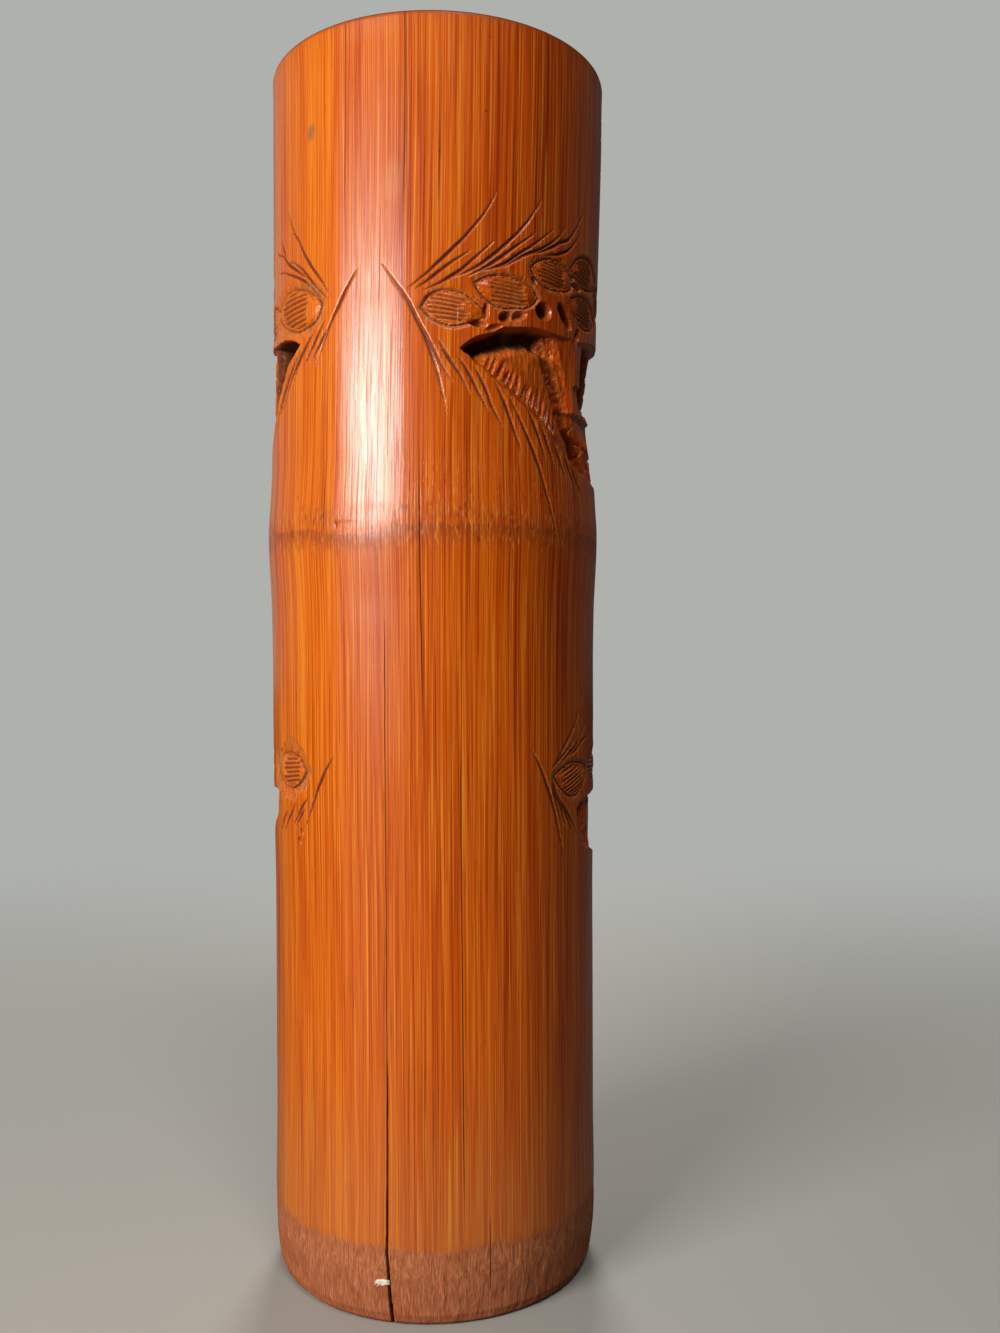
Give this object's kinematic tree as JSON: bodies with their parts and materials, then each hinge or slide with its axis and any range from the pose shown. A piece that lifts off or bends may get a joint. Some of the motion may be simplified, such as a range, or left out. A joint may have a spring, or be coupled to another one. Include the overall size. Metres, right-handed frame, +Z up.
{
  "type": "bamboo brush pot",
  "caption": "Tall bamboo brush pot: an open carved culm with pines and rocks in deep relief over its front, a plain back, a floor diaphragm and the ring of its middle diaphragm.",
  "frame": {"origin": "centre of the foot, on the surface that the pot stands on", "axes": "+Z up along the culm, -Y the plain back, +Y the carved front, +X to the right of someone facing the back"},
  "size_m": [0.0863, 0.0852, 0.3],
  "materials": {
    "bamboo_skin": "satin",
    "bamboo_septum": "matte"
  },
  "bodies": {
    "root": {"culm": "bamboo_skin", "floor_septum": "bamboo_septum", "middle_septum_ring": "bamboo_septum"}
  },
  "joints": []
}
